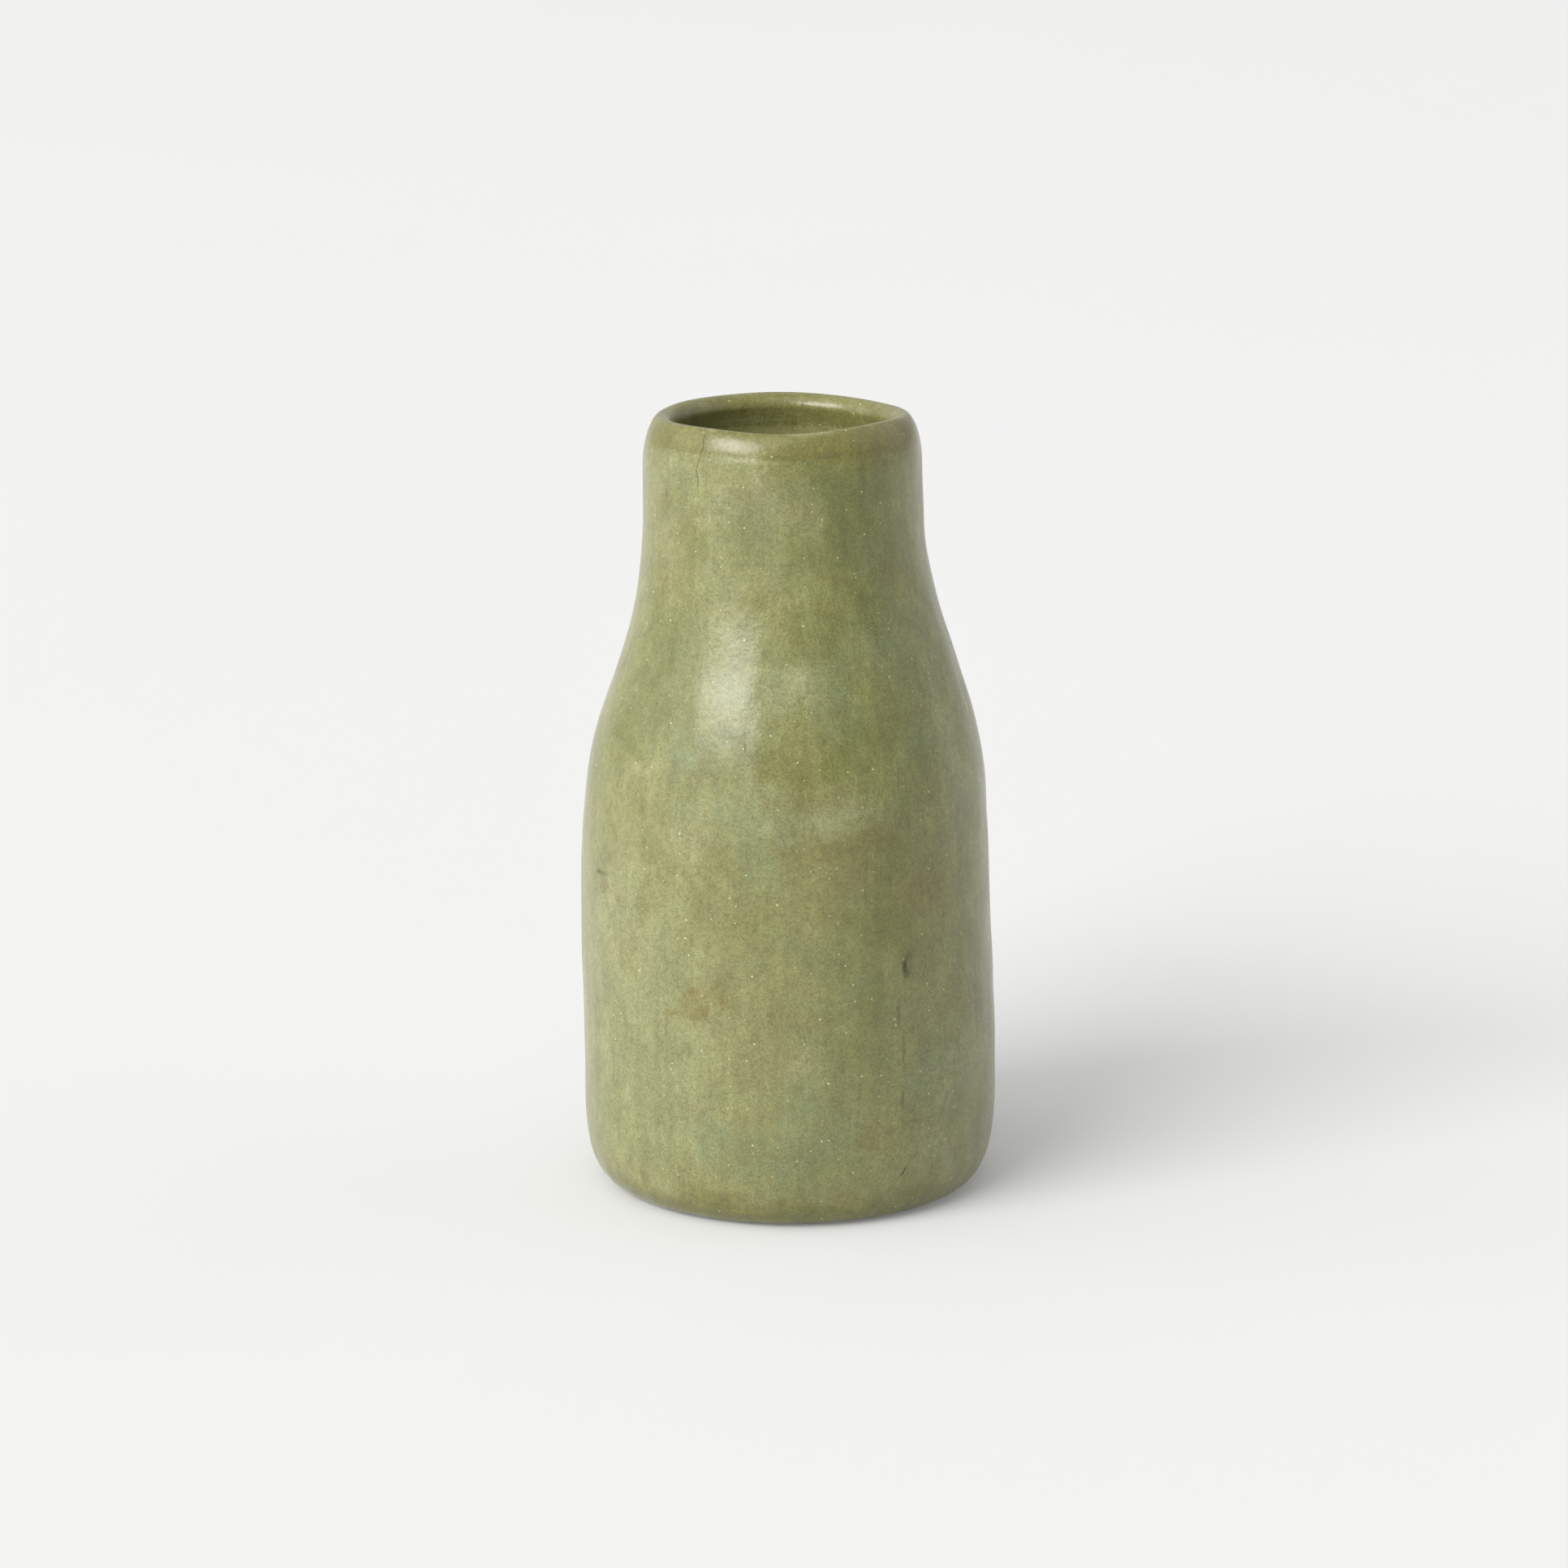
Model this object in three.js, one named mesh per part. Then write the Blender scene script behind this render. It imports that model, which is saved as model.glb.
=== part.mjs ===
// Hand-built clay bottle vase: a base slab, eight wall courses and a rim coil, luted together.
// Millimetres, +Z up. The origin is the middle of the flat underside and -Y is the front.

import * as THREE from 'three';

// Driving dimensions.
const HEIGHT = 230;
const SEGMENTS = 48; // flat steps round each ring
const STEP_HEIGHT = 7; // largest height of one flat step up a wall

const BASE_RADIUS = 47; // the flat that the vase stands on
const FLOOR_THICKNESS = 9;
const SLAB_EDGE_HEIGHT = 5; // where the foot course laps over the slab's edge
const SLAB_STEP_RADIUS = 49; // the slab's step, which locates the foot course
const FLOOR_CORNER_RADIUS = 44; // where the inside wall meets the floor

const FOOT_HEIGHT = 31; // top of the rounded foot
const FOOT_POWER = 3.07; // superellipse power of the foot: 2 is a round corner, more is squarer

const RIM_JOINT_HEIGHT = 223.5;
const LIP_START_HEIGHT = 216; // where the outside starts to roll over into the lip
const LIP_POWER = 1.8; // superellipse power of the lip's outside
const LIP_CREST_RADIUS = 35.6;
const MOUTH_RADIUS = 31.6;
const LIP_INNER_DROP = 4; // height of the lip's inner rounding

// How far the inner end of each joint lies below its outer end, because each course is set
// inside the edge of the one below and smeared down over it.
const SCARF = 3;

// The outside by height: its radius, the wall's thickness, and how far the hand-built wall's
// centre wanders along X from the centre of the base.
const OUTLINE = [
  { z: FOOT_HEIGHT, radius: 61.2, wall: 9.5, drift: 0.3 },
  { z: 58, radius: 61.1, wall: 8.6, drift: -0.2 },
  { z: 87, radius: 60.3, wall: 8.2, drift: -0.7 },
  { z: 116, radius: 59.2, wall: 8.2, drift: -1.1 },
  { z: 142, radius: 54.6, wall: 8.4, drift: -0.6 },
  { z: 168, radius: 46.1, wall: 8.2, drift: -0.4 },
  { z: 193, radius: 41.3, wall: 7.8, drift: -1.5 },
  { z: LIP_START_HEIGHT, radius: 40.6, wall: 7.6, drift: -1.8 },
  { z: HEIGHT, radius: 40.6, wall: 7.6, drift: -2.1 },
];

// The rim rises and falls in a few gentle lobes: rise in mm, and the bearing of a crest in
// degrees, counted from the front towards +X.
const RIM_LOBES = [
  { lobes: 1, rise: 0.3, bearing: 36 },
  { lobes: 2, rise: 0.26, bearing: 32 },
  { lobes: 3, rise: 0.37, bearing: -54 },
];

// The courses from the foot up, with the height of each one's upper joint.
const COURSES = [
  { name: 'foot_course', top: FOOT_HEIGHT },
  { name: 'lower_belly_course', top: 58 },
  { name: 'middle_belly_course', top: 87 },
  { name: 'upper_belly_course', top: 116 },
  { name: 'shoulder_turn_course', top: 142 },
  { name: 'lower_shoulder_course', top: 168 },
  { name: 'upper_shoulder_course', top: 193 },
  { name: 'neck_course', top: RIM_JOINT_HEIGHT },
];

// Burnished clay, and the same clay left plain under the base.
const wallMaterial = new THREE.MeshStandardMaterial({ color: 0x8e9268, roughness: 0.45, metalness: 0 });
const rimMaterial = new THREE.MeshStandardMaterial({ color: 0x8c8a58, roughness: 0.4, metalness: 0 });
const baseMaterial = new THREE.MeshStandardMaterial({ color: 0x857f5c, roughness: 0.75, metalness: 0 });

// Slope of one column of the outline at a point: the mean slope past its neighbours, and level
// at both ends.
function outlineSlope(index, key) {
  if (index === 0 || index === OUTLINE.length - 1) {
    return 0;
  }
  const before = OUTLINE[index - 1];
  const after = OUTLINE[index + 1];
  return (after[key] - before[key]) / (after.z - before.z);
}

// One column of the outline at any height, on a smooth curve through its points.
function outlineAt(z, key) {
  const last = OUTLINE.length - 1;
  if (z <= OUTLINE[0].z) {
    return OUTLINE[0][key];
  }
  if (z >= OUTLINE[last].z) {
    return OUTLINE[last][key];
  }
  const i = OUTLINE.findIndex((point) => point.z > z) - 1;
  const [from, to] = [OUTLINE[i], OUTLINE[i + 1]];
  const span = to.z - from.z;
  const t = (z - from.z) / span;
  const blend = t * t * (3 - 2 * t);
  const ease = span * t * (1 - t);
  const turn = outlineSlope(i, key) * (1 - t) - outlineSlope(i + 1, key) * t;
  return from[key] + (to[key] - from[key]) * blend + ease * turn;
}

// Radius of a superellipse corner that is `reach` wide and level at `level` = 0, vertical at 1.
function cornerReach(level, reach, power) {
  return reach * (1 - (1 - level) ** power) ** (1 / power);
}

function outerRadius(z) {
  if (z < FOOT_HEIGHT) {
    const reach = OUTLINE[0].radius - BASE_RADIUS;
    return BASE_RADIUS + cornerReach(z / FOOT_HEIGHT, reach, FOOT_POWER);
  }
  if (z > LIP_START_HEIGHT) {
    const level = (HEIGHT - z) / (HEIGHT - LIP_START_HEIGHT);
    const reach = outlineAt(z, 'radius') - LIP_CREST_RADIUS;
    return LIP_CREST_RADIUS + cornerReach(level, reach, LIP_POWER);
  }
  return outlineAt(z, 'radius');
}

function innerRadius(z) {
  if (z < FOOT_HEIGHT) {
    const reach = OUTLINE[0].radius - OUTLINE[0].wall - FLOOR_CORNER_RADIUS;
    const level = (z - FLOOR_THICKNESS) / (FOOT_HEIGHT - FLOOR_THICKNESS);
    return FLOOR_CORNER_RADIUS + cornerReach(level, reach, 2);
  }
  return outlineAt(z, 'radius') - outlineAt(z, 'wall');
}

// Heights from one level to another, in equal steps of at most STEP_HEIGHT, both ends included.
function heightsBetween(from, to, stepHeight = STEP_HEIGHT) {
  const steps = Math.ceil(Math.abs(to - from) / stepHeight);
  return Array.from({ length: steps + 1 }, (_, i) => from + ((to - from) * i) / steps);
}

// The same, closing up towards the first level, for a corner that turns in there.
function cornerHeights(from, to, steps) {
  const eased = (i) => 1 - Math.cos((i / steps) * (Math.PI / 2));
  return Array.from({ length: steps + 1 }, (_, i) => from + (to - from) * eased(i));
}

const outerPoint = (z) => new THREE.Vector2(outerRadius(z), z);
const innerPoint = (z) => new THREE.Vector2(innerRadius(z), z);

// Lift of the rim at a bearing from the front.
function rimLift(bearing) {
  const lift = ({ lobes, rise, bearing: crest }) =>
    rise * Math.cos(lobes * (bearing - THREE.MathUtils.degToRad(crest)));
  return RIM_LOBES.reduce((sum, lobe) => sum + lift(lobe), 0);
}

// Turns a closed profile round the axis, then moves each height to the wall's own centre and
// lifts what stands above the rim joint.
function turnedGeometry(profile) {
  const geometry = new THREE.LatheGeometry(profile, SEGMENTS);
  geometry.rotateX(Math.PI / 2);
  const position = geometry.attributes.position;
  for (let i = 0; i < position.count; i += 1) {
    const [x, y, z] = [position.getX(i), position.getY(i), position.getZ(i)];
    const share = Math.max(0, (z - RIM_JOINT_HEIGHT) / (HEIGHT - RIM_JOINT_HEIGHT));
    const lift = share * rimLift(Math.atan2(x, -y));
    position.setXYZ(i, x + outlineAt(z, 'drift'), y, z + lift);
  }
  geometry.computeVertexNormals();
  return geometry;
}

function clayMesh(name, profile, material) {
  const mesh = new THREE.Mesh(turnedGeometry(profile), material);
  mesh.name = name;
  return mesh;
}

// The base slab: a flat disc whose upper edge is stepped to take the foot course.
function baseSlab() {
  const edge = cornerHeights(0, SLAB_EDGE_HEIGHT, 4).map(outerPoint);
  const profile = [
    new THREE.Vector2(0, 0),
    ...edge,
    new THREE.Vector2(SLAB_STEP_RADIUS, SLAB_EDGE_HEIGHT),
    new THREE.Vector2(SLAB_STEP_RADIUS, FLOOR_THICKNESS),
    new THREE.Vector2(0, FLOOR_THICKNESS),
  ];
  return clayMesh('base_slab', profile, baseMaterial);
}

// The foot course laps down over the slab's edge and rises round the floor's corner.
function footCourse({ name, top }) {
  const outside = heightsBetween(SLAB_EDGE_HEIGHT, top, STEP_HEIGHT / 2).map(outerPoint);
  const inside = cornerHeights(FLOOR_THICKNESS, top - SCARF, 5).reverse().map(innerPoint);
  const profile = [
    ...outside,
    ...inside,
    new THREE.Vector2(SLAB_STEP_RADIUS, FLOOR_THICKNESS),
    new THREE.Vector2(SLAB_STEP_RADIUS, SLAB_EDGE_HEIGHT),
    outside[0],
  ];
  return clayMesh(name, profile, wallMaterial);
}

// A plain course between two sloping joints.
function wallCourse({ name, top }, bottom) {
  const outside = heightsBetween(bottom, top).map(outerPoint);
  const inside = heightsBetween(top - SCARF, bottom - SCARF).map(innerPoint);
  return clayMesh(name, [...outside, ...inside, outside[0]], wallMaterial);
}

// The rim coil, rolled over outwards into the lip and turned down into the mouth.
function rimCoil() {
  const innerFoot = RIM_JOINT_HEIGHT - SCARF;
  const outside = cornerHeights(HEIGHT, RIM_JOINT_HEIGHT, 6).reverse().map(outerPoint);
  const reach = LIP_CREST_RADIUS - MOUTH_RADIUS;
  const inside = [1, 2, 3, 4].map((i) => {
    const angle = (i / 4) * (Math.PI / 2);
    const radius = LIP_CREST_RADIUS - reach * Math.sin(angle);
    return new THREE.Vector2(radius, HEIGHT - LIP_INNER_DROP * (1 - Math.cos(angle)));
  });
  const profile = [...outside, ...inside, innerPoint(innerFoot), outside[0]];
  return clayMesh('rim_coil', profile, rimMaterial);
}

const vase = new THREE.Group();
vase.add(baseSlab());
vase.add(footCourse(COURSES[0]));
COURSES.slice(1).forEach((course, i) => vase.add(wallCourse(course, COURSES[i].top)));
vase.add(rimCoil());

export default vase;
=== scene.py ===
"""A hand-built, burnished clay bottle vase on a pale floor.

Each node of the CAD model is replaced by one finished piece. All ten pieces are cut from one
modelled skin, so their shared edges and their shading run on without a seam.
"""

import math

import bpy
import numpy as np
from mathutils import Euler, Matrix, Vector


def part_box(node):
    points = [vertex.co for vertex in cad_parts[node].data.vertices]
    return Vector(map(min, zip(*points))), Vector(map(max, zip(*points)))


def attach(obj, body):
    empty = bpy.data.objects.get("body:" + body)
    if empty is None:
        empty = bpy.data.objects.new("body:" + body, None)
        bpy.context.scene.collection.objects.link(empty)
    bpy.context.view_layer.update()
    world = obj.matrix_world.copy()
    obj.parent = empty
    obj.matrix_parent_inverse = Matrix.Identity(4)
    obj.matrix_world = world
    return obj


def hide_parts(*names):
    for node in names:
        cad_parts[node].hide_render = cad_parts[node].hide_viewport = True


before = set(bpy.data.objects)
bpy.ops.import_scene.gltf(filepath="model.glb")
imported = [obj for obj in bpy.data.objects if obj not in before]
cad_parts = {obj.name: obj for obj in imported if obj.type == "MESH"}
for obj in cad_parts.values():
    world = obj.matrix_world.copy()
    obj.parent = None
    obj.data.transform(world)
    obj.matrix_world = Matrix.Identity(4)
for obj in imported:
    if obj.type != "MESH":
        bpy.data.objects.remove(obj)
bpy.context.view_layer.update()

MM = 0.001

# ---------------------------------------------------------------- the outline, in millimetres

HEIGHT = 230.0
BASE_RADIUS = 47.0  # the flat that the vase stands on
FOOT_HEIGHT = 31.0  # top of the rounded foot
FOOT_POWER = 3.07  # superellipse power of the foot: 2 is a round corner, more is squarer
LIP_START_HEIGHT = 216.0  # where the outside starts to roll over into the lip
LIP_POWER = 1.8  # superellipse power of the lip's outside
LIP_CREST_RADIUS = 35.6
MOUTH_RADIUS = 31.6
LIP_INNER_DROP = 4.0  # height of the lip's inner rounding
FLOOR_CORNER_RADIUS = 44.0  # where the inside wall meets the floor
SLAB_STEP_RADIUS = 49.0  # the slab's hidden step, which locates the foot course

# Height, outer radius, wall thickness, and drift of the hand-built wall's centre along X.
OUTLINE = [
    (31, 61.2, 9.5, 0.3),
    (58, 61.1, 8.6, -0.1),
    (87, 60.4, 8.2, -0.8),
    (116, 59.15, 8.2, -1.1),
    (129, 57.7, 8.3, -0.9),
    (142, 54.6, 8.4, -0.6),
    (152, 51.3, 8.4, -0.3),
    (164, 47.4, 8.2, -0.3),
    (180, 43.15, 8.0, -1.0),
    (193, 41.25, 7.8, -1.5),
    (216, 40.6, 7.6, -1.9),
    (230, 40.6, 7.6, -2.0),
]

# Gentle lobes of the uneven rim: lobes, rise, and the bearing of a crest.
RIM_LOBES = [(1, 0.3, 36), (2, 0.26, 32), (3, 0.37, -54), (4, 0.16, -33)]

# The courses between the base slab and the rim coil, from the foot up.
COURSES = [
    "foot_course",
    "lower_belly_course",
    "middle_belly_course",
    "upper_belly_course",
    "shoulder_turn_course",
    "lower_shoulder_course",
    "upper_shoulder_course",
    "neck_course",
]
JOINTS = [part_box(name)[1][2] / MM for name in COURSES]
RIM_JOINT = JOINTS[-1]
SCARF = RIM_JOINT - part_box("rim_coil")[0][2] / MM  # how far a joint's inner end lies lower
SLAB_EDGE_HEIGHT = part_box("foot_course")[0][2] / MM
FLOOR_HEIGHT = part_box("base_slab")[1][2] / MM

# ---------------------------------------------------------------- mesh density

# The gap between rows of points, in mm, and between columns, in degrees.
UNDER_STEP = 1.2
OUTER_STEP = 0.6
LIP_STEP = 0.45
INNER_STEP = 1.5
COLUMN_STEP = 0.8
# Finer columns where a crack or a nick is: first and last bearing, and the step, in degrees.
FINE_COLUMNS = [(-39.5, -34.0, 0.15), (-14.5, -8.5, 0.25), (18.5, 25.0, 0.25), (31.0, 36.5, 0.25)]

# ---------------------------------------------------------------- the clay's own marks
# Bearings are in degrees from the front towards +X; everything else is in millimetres.

# Soft patches where the burnished slip took another tone, from the rim down: bearing, height,
# half-width, half-height and strength, and then the lean in degrees of those that lean.
GREEN_PATCHES = [
    (18, 215, 9, 4, 0.7), (-48, 213, 5, 6, 0.6), (-15, 201, 4, 7, 0.5), (33, 192, 4, 12, 0.5),
    (-47, 171, 6, 2.5, 0.5), (42, 166, 10, 15, 0.8), (-47, 160, 12, 15, 0.8),
    (14, 157, 6, 15, 0.9), (20, 146, 6, 8, 0.6), (47, 141, 13, 6, 0.8), (-34, 140, 5, 8, 0.9),
    (-30, 124, 7, 6, 0.5), (-9, 124, 12, 8, 0.6), (0, 115.5, 4, 3, 0.6), (-40, 112, 4, 4, 0.4),
    (-9, 111, 6, 11, 0.6, -20), (6, 85, 5, 4, 0.4), (-35, 82, 7, 6, 0.4), (20, 75, 6, 10, 0.3),
    (41, 44, 8, 9, 0.7), (2, 38, 8, 5, 0.8), (14, 37, 5, 4, 0.5), (-23, 27, 7, 6, 1.0, -30),
    (12, 27, 9, 7, 0.8), (-70, 26, 6, 8, 0.4), (-1, 22, 17, 8, 1.0), (65, 18, 7, 5, 0.6),
]
BROWN_PATCHES = [
    (17, 192, 2, 12, 0.5), (-59, 185, 4, 10, 0.6), (10, 180, 5, 3, 0.7), (-56, 177, 4, 4, 0.6),
    (-50, 158, 9, 9, 0.4), (-3, 138.5, 6, 6, 0.4), (-26, 136, 6, 5, 0.6), (22, 111, 9, 6, 0.5),
    (-16, 106, 5, 9, 0.6), (8, 105, 8, 11, 0.6), (-59, 98, 6, 7, 0.5), (-26, 98, 24, 14, 0.35),
    (35, 98, 13, 17, 0.7), (-49, 80, 7, 9, 0.25), (42, 80, 9, 6, 0.4), (-1, 77, 6, 6, 0.5),
    (-24.5, 69.3, 8.5, 4.4, 1.25, 42), (24, 28, 5, 5, 0.5),
]
PALE_PATCHES = [
    (-50, 217, 12, 4, 0.7), (-9, 215, 3, 8, 0.7), (-28, 211, 4, 8, 0.6), (-20, 209, 12, 7, 0.5),
    (13, 207, 3.5, 8, 0.5), (-46, 205, 6, 9, 0.5), (-55, 195, 3, 14, 0.5),
    (-25, 189, 5, 14, 0.4), (0, 187, 9, 8, 0.3), (64, 172, 4, 9, 0.7), (28, 168, 4, 6, 0.5),
    (-1, 159, 11, 6, 0.7), (6, 159, 6, 7, 1.0), (57, 142, 7, 26, 0.6), (-47, 133, 7, 6, 0.8),
    (-11, 125, 13, 7, 0.7, 10), (11, 122, 16, 6, 0.65, 12), (-4, 119, 9, 6, 0.8),
    (-26, 118, 14, 9, 0.5), (-42, 100, 4, 34, 0.4), (-50, 86, 20, 32, 0.6),
    (-66, 74, 4, 14, 0.6), (-38, 66, 26, 60, 0.5), (62, 66, 4, 14, 0.7), (-62, 60, 6, 40, 0.5),
    (-36, 59, 8, 5, 0.4), (-22, 50, 5, 26, 0.35), (4, 49, 9, 5, 0.5), (45, 44, 7, 7, 0.7),
    (56, 42, 9, 16, 0.5), (-25, 39, 6, 5, 0.6), (-25, 28, 5, 6, 0.9), (44, 22, 7, 7, 0.6),
]
# Where the slip lies thicker and is deeper and more saturated.
DEEP_PATCHES = [
    (13, 217, 7, 6, 0.5), (28, 213, 16, 9, 1.0), (25, 206, 11, 17, 0.9), (44, 200, 8, 16, 0.4),
    (-39, 198, 5, 7, 0.5), (12, 198, 8, 15, 0.6), (36, 186, 9, 16, 0.5), (-56, 176, 5, 5, 0.6),
    (19, 176, 10, 6, 0.5), (-49, 163, 7, 17, 0.8), (38, 148, 9, 14, 0.5),
    (-24, 147, 11, 4.5, 0.9), (25, 146, 8, 8, 0.5), (-59, 142, 4, 8, 0.6),
    (-22, 139, 10, 4, 0.7), (-8, 139, 8, 4, 0.4), (-53, 138, 8, 5, 0.8), (14, 138, 11, 6, 0.7),
    (30, 112, 12, 16, 0.6), (-10, 90, 8, 8, 0.3), (27, 90, 13, 11, 0.7), (25, 88, 9, 12, 0.3),
    (17, 78, 13, 38, 0.35), (21, 66, 10, 17, 0.6), (10, 19, 14, 6, 0.35),
]
# Smears and scuffs that are darker than the clay round them.
DARK_PATCHES = [
    (-13, 142, 6, 1.6, 0.2, -30), (34.0, 132, 0.5, 4.0, 0.3), (58, 100, 1.6, 16, 0.15),
    (-63, 99.5, 3.5, 0.7, 1.0), (34.4, 77.4, 1.5, 3.4, 1.3, -6), (31.4, 64, 0.6, 4.0, 0.6),
    (63, 62, 1.2, 14, 0.25), (-66, 60, 1.5, 12, 0.25), (8, 57, 1.6, 1.2, 0.3),
    (32.7, 51, 0.6, 6.5, 0.5), (32.2, 38, 0.5, 5.5, 0.5), (-40, 5, 22, 1.0, 0.12),
    (-20, 4, 16, 0.8, 0.12), (30, 3.5, 14, 0.7, 0.2),
]

# Where the wall was pressed out a little from inside. These are listed like the patches above,
# with the swell in mm in place of the strength.
PRESSED = [(-24, 153, 15, 9, 0.2)]

# One strip of slip ends in a step in tone across the front of the belly: the height of its lower
# edge at the front, how far the edge climbs in each degree, and the strip's two ends.
STRIP_EDGE_HEIGHT = 114.8
STRIP_EDGE_CLIMB = 0.21
STRIP_START = 0
STRIP_END = 27

# Cracks, lines and scratches: the points of each as bearing and height, then its half-width,
# depth and darkness. A negative darkness is a pale scratch.
LINES = [
    ([(-36.0, 228.8), (-35.9, 225), (-36.5, 220.5), (-37.3, 218.4), (-36.3, 215.7), (-36.5, 212)],
     0.08, 0.40, 0.65),
    ([(-36.5, 212), (-37.3, 205), (-38.4, 197), (-38.0, 188)], 0.10, 0.04, 0.2),
    ([(-13.5, 143.9), (-12.7, 142.6), (-11.9, 141.2), (-10.6, 139.8), (-9.3, 138.2)],
     0.11, 0.2, 0.5),
    ([(24.0, 129), (23.6, 126.5), (22.6, 124), (20.6, 121.6), (18.8, 120)], 0.11, 0.12, 0.45),
    ([(-18, 193.3), (-8, 192.9), (0, 193.1), (8, 192.6)], 0.13, 0.05, 0.3),
    ([(23, 88.9), (30, 88.5), (37, 88.6)], 0.12, 0.05, 0.3),
    ([(44, 83.5), (50, 83.2)], 0.12, 0.05, 0.3),
    ([(32, 31.2), (39, 30.8), (45, 31.1)], 0.2, 0.05, 0.3),
    ([(31.9, 14.8), (33.0, 16.0), (34.0, 17.6)], 0.22, 0.2, 0.9),
    ([(-49.9, 40.3), (-52.5, 27)], 0.22, 0.0, -0.45),
    ([(-50.6, 35.3), (-47.8, 27)], 0.2, 0.0, -0.35),
    ([(2, 229.7), (9, 229.8), (16, 229.7), (24, 229.8)], 0.3, 0.0, -0.4),
    ([(-36, 229.8), (-31, 229.6)], 0.25, 0.0, -0.5),
]

FRONT_REACH = 80  # the marks above are within this bearing; round the back they are scattered
BACK_PATCHES = 26  # of each tone
DRIFTS = [(1.6, 0.5), (3.4, 1.0), (9.0, 1.7)]  # how patches' edges wander: size, distance


# ---------------------------------------------------------------- curves and smooth noise

def smooth_curve(knots, values):
    """A cubic spline through a few points, level at both ends, as a function of an array."""
    x = np.array(knots, float)
    y = np.array(values, float)
    gap = np.diff(x)
    slope = np.diff(y) / gap
    last = len(x) - 1
    system = np.zeros((last + 1, last + 1))
    right = np.zeros(last + 1)
    system[0, :2] = 2 * gap[0], gap[0]
    system[last, last - 1:] = gap[-1], 2 * gap[-1]
    right[0] = 6 * slope[0]
    right[last] = -6 * slope[-1]
    for i in range(1, last):
        system[i, i - 1:i + 2] = gap[i - 1], 2 * (gap[i - 1] + gap[i]), gap[i]
        right[i] = 6 * (slope[i] - slope[i - 1])
    bend = np.linalg.solve(system, right)

    def at(place):
        place = np.clip(place, x[0], x[-1])
        i = np.clip(np.searchsorted(x, place, side="right") - 1, 0, last - 1)
        before = place - x[i]
        after = x[i + 1] - place
        cubic = (bend[i] * after**3 + bend[i + 1] * before**3) / (6 * gap[i])
        low = (y[i] / gap[i] - bend[i] * gap[i] / 6) * after
        high = (y[i + 1] / gap[i] - bend[i + 1] * gap[i] / 6) * before
        return cubic + low + high

    return at


heights, radii, walls, drifts = zip(*OUTLINE)
wall_radius = smooth_curve(heights, radii)
wall_thickness = smooth_curve(heights, walls)
wall_drift = smooth_curve(heights, drifts)


def lumps(points, size, seed, stretch=(1, 1, 1), waves=26):
    """Smooth random lumps about `size` mm across, with a mean of 0 and a spread of 1."""
    random = np.random.default_rng(seed)
    directions = random.normal(size=(waves, 3))
    directions /= np.linalg.norm(directions, axis=1)[:, None]
    numbers = math.pi / size * random.uniform(0.6, 1.5, waves)
    vectors = directions * numbers[:, None] / np.array(stretch)
    phases = random.uniform(0, 2 * math.pi, waves)
    total = np.zeros(points.shape[:-1])
    for vector, phase in zip(vectors, phases):
        total += np.cos(points @ vector + phase)
    return total * math.sqrt(2 / waves)


def rise(value, low, high):
    """0 below low, 1 above high, and a smooth rise between them."""
    t = np.clip((value - low) / (high - low), 0, 1)
    return t * t * (3 - 2 * t)


# ---------------------------------------------------------------- the profile and its rows

def corner_reach(level, reach, power):
    """Width at a level of a superellipse corner that is flat at level 0 and upright at 1."""
    return reach * (1 - (1 - np.clip(level, 0, 1)) ** power) ** (1 / power)


def outer_radius(z):
    foot = BASE_RADIUS + corner_reach(z / FOOT_HEIGHT, radii[0] - BASE_RADIUS, FOOT_POWER)
    level = (HEIGHT - z) / (HEIGHT - LIP_START_HEIGHT)
    lip = LIP_CREST_RADIUS + corner_reach(level, radii[-1] - LIP_CREST_RADIUS, LIP_POWER)
    return np.where(z < FOOT_HEIGHT, foot, np.where(z > LIP_START_HEIGHT, lip, wall_radius(z)))


def inner_radius(z):
    reach = radii[0] - walls[0] - FLOOR_CORNER_RADIUS
    level = (z - FLOOR_HEIGHT) / (FOOT_HEIGHT - FLOOR_HEIGHT)
    corner = FLOOR_CORNER_RADIUS + corner_reach(level, reach, 2)
    return np.where(z < FOOT_HEIGHT, corner, wall_radius(z) - wall_thickness(z))


def even_steps(path, gap):
    """A path of (radius, height) points, cut again into equal steps of at most gap."""
    path = np.array(path, float)
    run = np.concatenate([[0], np.cumsum(np.hypot(*np.diff(path, axis=0).T))])
    at = np.linspace(0, run[-1], max(2, math.ceil(run[-1] / gap) + 1))
    return np.column_stack([np.interp(at, run, path[:, 0]), np.interp(at, run, path[:, 1])])


def wall_path(radius_at, low, high):
    """Many points up a wall, closest together at its two ends, where a corner may turn in."""
    z = low + (high - low) * (1 - np.cos(np.linspace(0, math.pi, 400))) / 2
    return np.column_stack([radius_at(z), z])


def mouth_path():
    """From the lip's crest, round into the mouth and down to the rim coil's inner joint."""
    angle = np.linspace(0, math.pi / 2, 60)
    radius = LIP_CREST_RADIUS - (LIP_CREST_RADIUS - MOUTH_RADIUS) * np.sin(angle)
    height = HEIGHT - LIP_INNER_DROP * (1 - np.cos(angle))
    foot = RIM_JOINT - SCARF
    return np.vstack([np.column_stack([radius, height]), [inner_radius(foot), foot]])


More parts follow.
